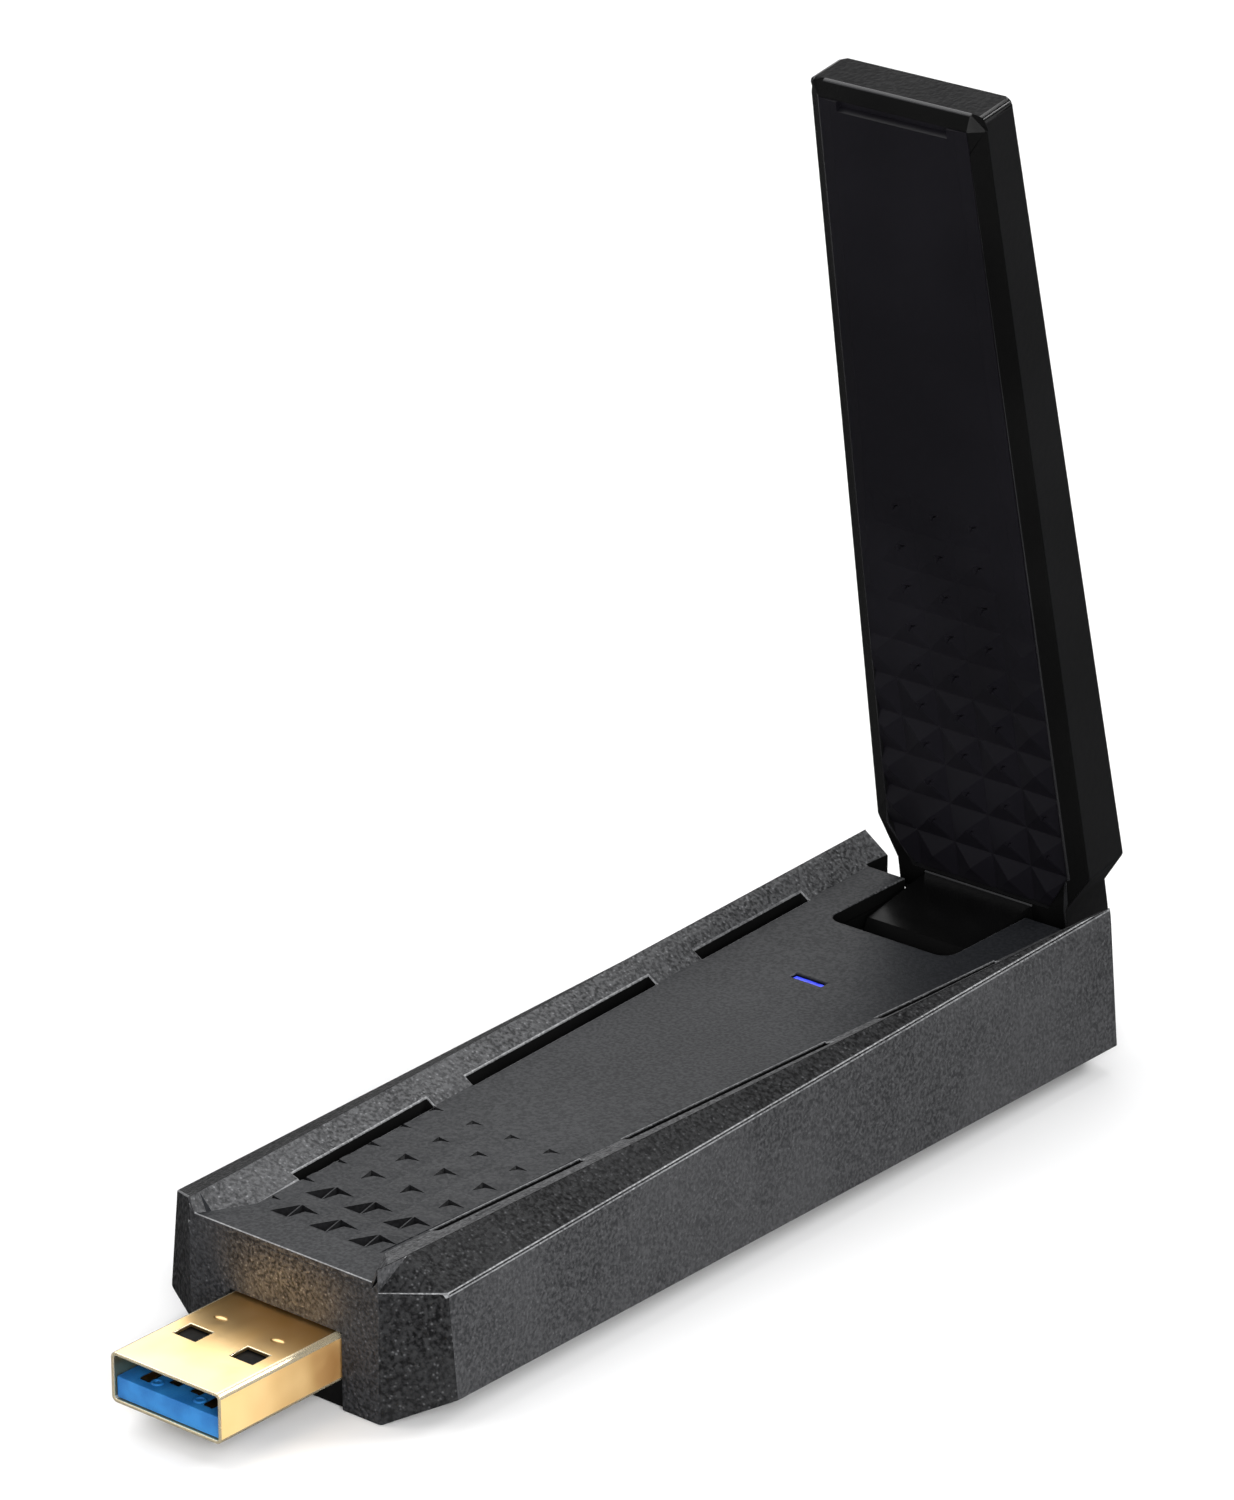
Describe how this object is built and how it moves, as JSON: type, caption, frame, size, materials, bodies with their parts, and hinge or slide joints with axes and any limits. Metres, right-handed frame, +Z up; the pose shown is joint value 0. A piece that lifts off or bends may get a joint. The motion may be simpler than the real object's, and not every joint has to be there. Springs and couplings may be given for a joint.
{
  "type": "usb wifi adapter",
  "caption": "USB wireless network adapter: long wedge-section housing with a metal plug and a flat antenna paddle that folds on a friction hinge.",
  "frame": {"origin": "on the underside plane, on the centre line, at the middle of the housing's length", "axes": "+Z up from the underside, +Y from the plug towards the hinge, +X across the housing, to the right when looking along +Y"},
  "size_m": [0.0316, 0.1134, 0.0918],
  "materials": {
    "housing": "charcoal grey, sand-blasted mould texture",
    "cover": "charcoal grey, fine satin on the panel and coarse grain on the slopes",
    "antenna_shell": "near-black, fine satin",
    "antenna_plate": "near-black satin with a relief of small pyramids",
    "gloss_black": "polished black",
    "black_insert": "black, matt",
    "gold_plate": "satin gold plating",
    "blue_insulator": "blue, semi-gloss",
    "contact_metal": "thin gold over bronze",
    "copper": "bare copper track",
    "circuit_board": "green solder mask",
    "chip_body": "black moulded package",
    "thermal_pad": "soft grey-blue pad",
    "tin_plate": "tinned sheet",
    "ceramic_chip": "tan ceramic",
    "led_body": "white package",
    "blue_lens": "blue lit lens",
    "black_cable": "black jacket",
    "grey_cable": "grey jacket",
    "steel": "plain steel",
    "washer_plastic": "natural acetal"
  },
  "bodies": {
    "housing": {"lower_housing": "housing", "top_cover": "cover", "usb_shell": "gold_plate", "usb_insulator": "blue_insulator", "usb_contacts_front": "contact_metal", "usb_contacts_rear": "contact_metal", "usb_collar": "black_insert", "main_board": "circuit_board", "radio_chip": "chip_body", "thermal_pad": "thermal_pad", "shield_can": "tin_plate", "crystal": "tin_plate", "power_inductors": "chip_body", "filter_capacitors": "ceramic_chip", "status_led": "led_body", "light_pipe": "blue_lens", "coax_sockets": "gold_plate", "body_coax_left": "black_cable", "body_coax_right": "grey_cable", "board_screws": "steel", "hinge_pins": "steel", "friction_washers": "washer_plastic"},
    "antenna": {"antenna_back_cover": "antenna_shell", "antenna_front_plate": "antenna_plate", "antenna_foot": "gloss_black", "foot_screws": "steel", "antenna_board": "circuit_board", "antenna_elements": "copper", "antenna_coax_left": "black_cable", "antenna_coax_right": "grey_cable"}
  },
  "joints": [
    {"name": "antenna_hinge", "type": "hinge", "parent": "housing", "child": "antenna", "pos_m": [0, 0.0399, 0.00665], "axis": [-1, 0, 0], "range_deg": [-79, 31]}
  ]
}
